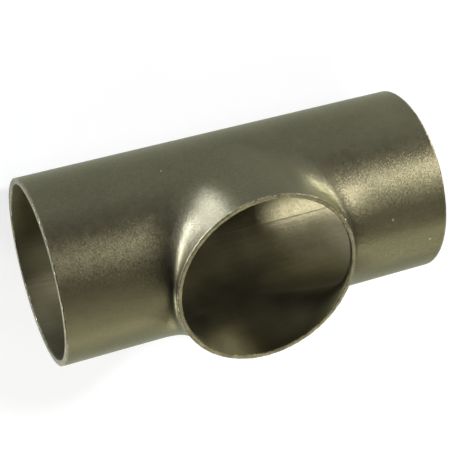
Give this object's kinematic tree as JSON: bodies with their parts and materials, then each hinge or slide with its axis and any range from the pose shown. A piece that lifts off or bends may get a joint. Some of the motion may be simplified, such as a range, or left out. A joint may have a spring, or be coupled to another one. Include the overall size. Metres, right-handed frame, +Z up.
{
  "type": "butt-weld pipe tee",
  "caption": "Thin-walled stainless pipe tee with plain weld ends: a straight run with a short drawn branch collar of the same size at its middle.",
  "frame": {"origin": "where the axis of the run and the axis of the branch cross", "axes": "+X along the run, +Z up along the branch towards its open face; the tee lies on its run, at z = -30.15 mm, with the branch upwards, which is how it rolls to rest when nothing holds it"},
  "size_m": [0.128, 0.0604, 0.0639],
  "materials": {
    "satin_stainless": "blasted and pickled stainless steel, satin, with a fine sparkling grain and bare cut ends"
  },
  "bodies": {
    "root": {"tee_body": "satin_stainless"}
  },
  "joints": []
}
